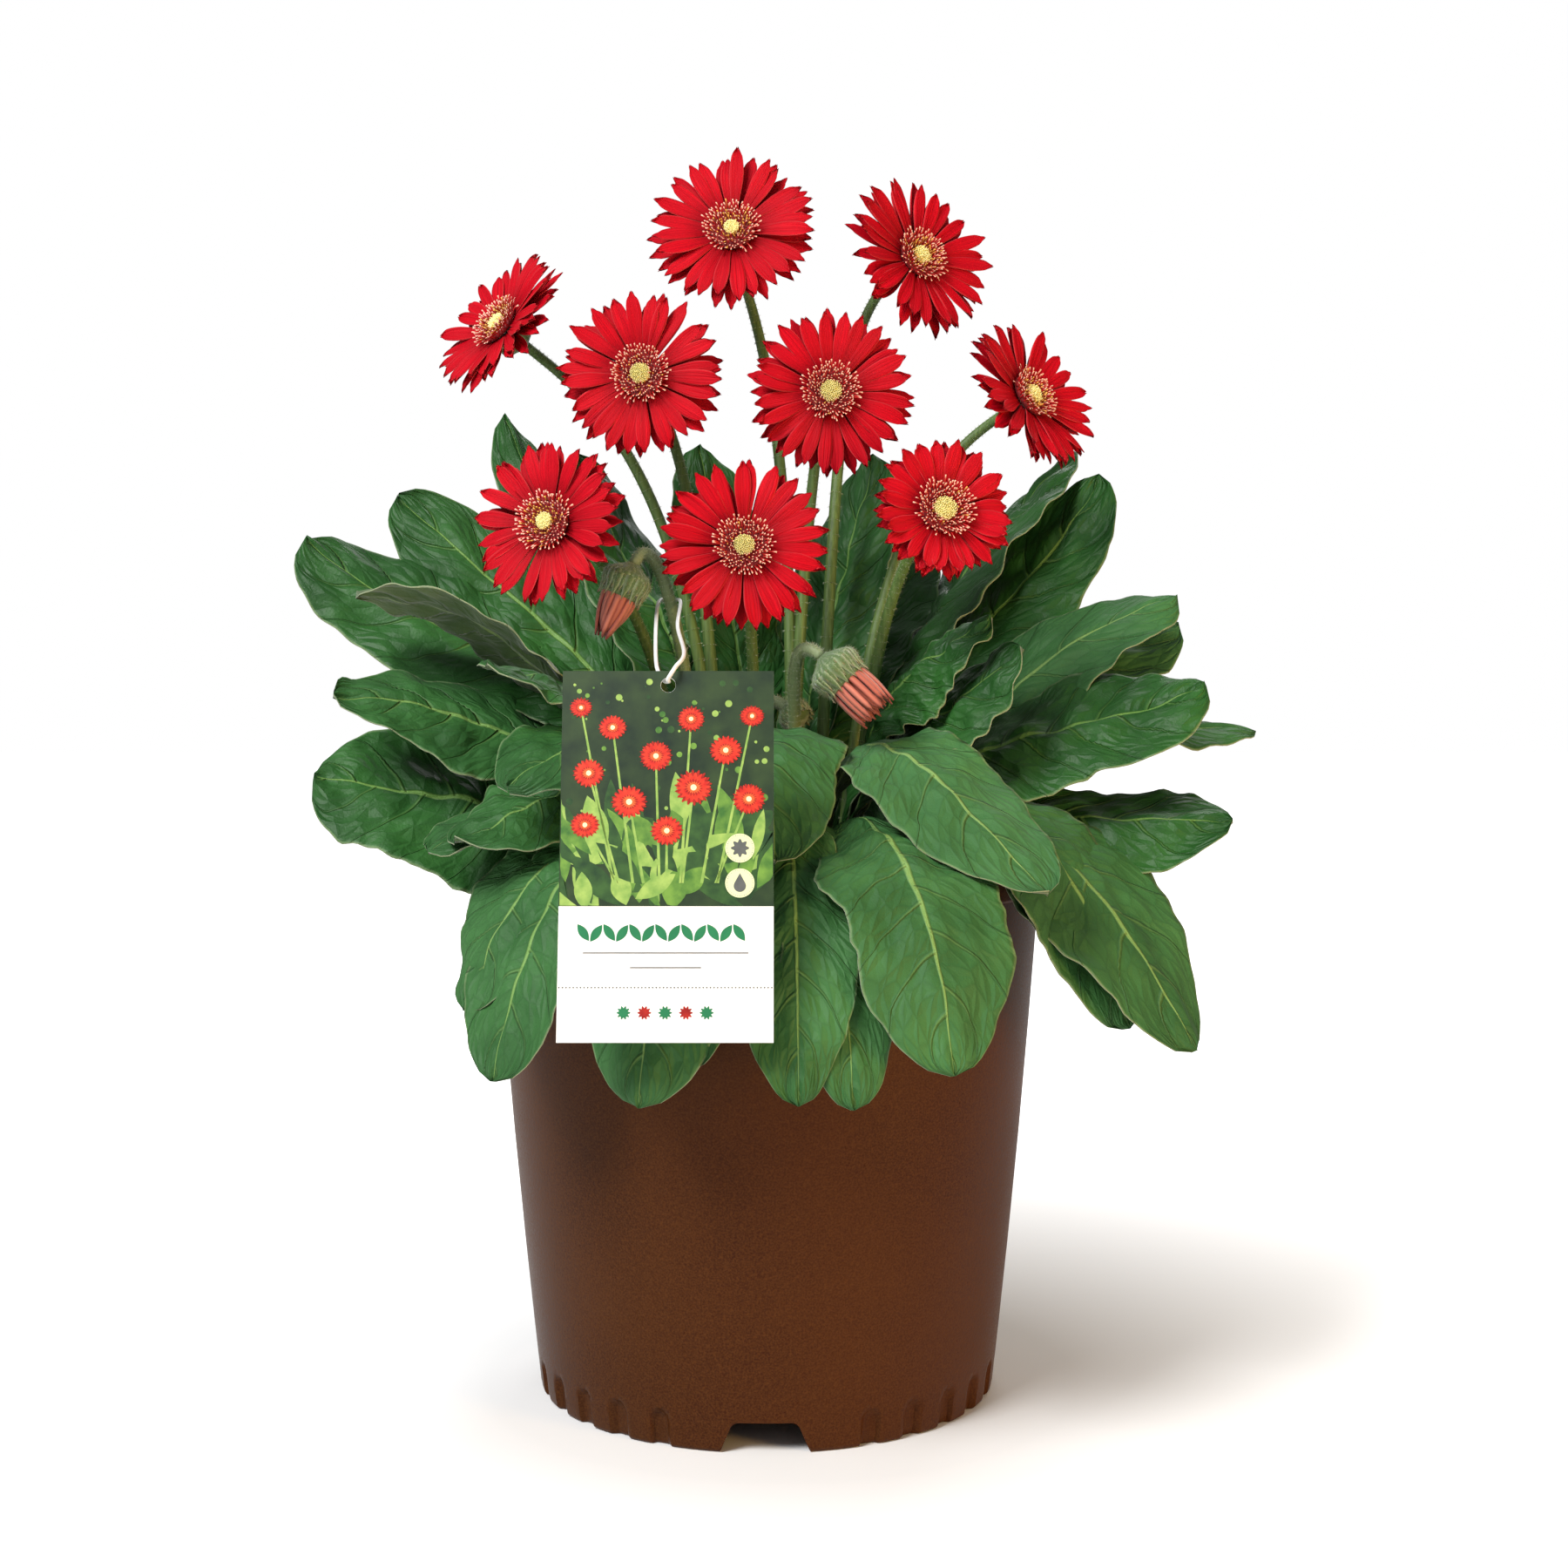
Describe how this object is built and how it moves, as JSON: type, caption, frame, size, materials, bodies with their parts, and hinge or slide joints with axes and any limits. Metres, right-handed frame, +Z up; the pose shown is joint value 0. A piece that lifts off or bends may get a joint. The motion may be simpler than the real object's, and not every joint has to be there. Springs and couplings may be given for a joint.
{
  "type": "potted gerbera",
  "caption": "Gerbera in bloom, growing in a round tapered nursery pot of soil, with nodding buds and a plain hang tag on a loop.",
  "frame": {"origin": "centre of the bounding box in X and Y, on the floor under the pot's foot", "axes": "+Z up out of the soil, -Y towards the hang tag and the viewer, +X to the viewer's right"},
  "size_m": [0.4012, 0.3194, 0.5018],
  "materials": {
    "pot": "satin",
    "soil": "matte",
    "leaf": "satin",
    "stem": "matte",
    "rays": "matte",
    "disc": "matte",
    "bud_green": "matte",
    "bud_red": "matte",
    "tag_card": "satin",
    "tag_loop": "gloss"
  },
  "bodies": {
    "root": {"pot": "pot", "soil": "soil", "leaf_left_top": "leaf", "leaf_left_olive": "leaf", "leaf_left_broad": "leaf", "leaf_left_low": "leaf", "leaf_left_fold": "leaf", "leaf_left_front": "leaf", "leaf_front_left": "leaf", "leaf_front_tag": "leaf", "leaf_front_drop": "leaf", "leaf_front_upper": "leaf", "leaf_front_right": "leaf", "leaf_right_front": "leaf", "leaf_right_drop": "leaf", "leaf_right_fold": "leaf", "leaf_right_broad": "leaf", "leaf_right_back": "leaf", "leaf_right_pale": "leaf", "leaf_right_dark": "leaf", "leaf_middle_right": "leaf", "leaf_back_middle": "leaf", "leaf_back_right": "leaf", "leaf_back_left": "leaf", "leaf_back_low": "leaf", "leaf_back_low_left": "leaf", "stem_top": "stem", "rays_top": "rays", "disc_top": "disc", "stem_top_right": "stem", "rays_top_right": "rays", "disc_top_right": "disc", "stem_far_left": "stem", "rays_far_left": "rays", "disc_far_left": "disc", "stem_left": "stem", "rays_left": "rays", "disc_left": "disc", "stem_middle": "stem", "rays_middle": "rays", "disc_middle": "disc", "stem_far_right": "stem", "rays_far_right": "rays", "disc_far_right": "disc", "stem_low_left": "stem", "rays_low_left": "rays", "disc_low_left": "disc", "stem_low_middle": "stem", "rays_low_middle": "rays", "disc_low_middle": "disc", "stem_low_right": "stem", "rays_low_right": "rays", "disc_low_right": "disc", "bud_stem_left": "bud_green", "bud_rays_left": "bud_red", "bud_stem_right": "bud_green", "bud_rays_right": "bud_red", "bud_stem_green": "bud_green", "tag": "tag_card", "tag_loop": "tag_loop"}
  },
  "joints": []
}
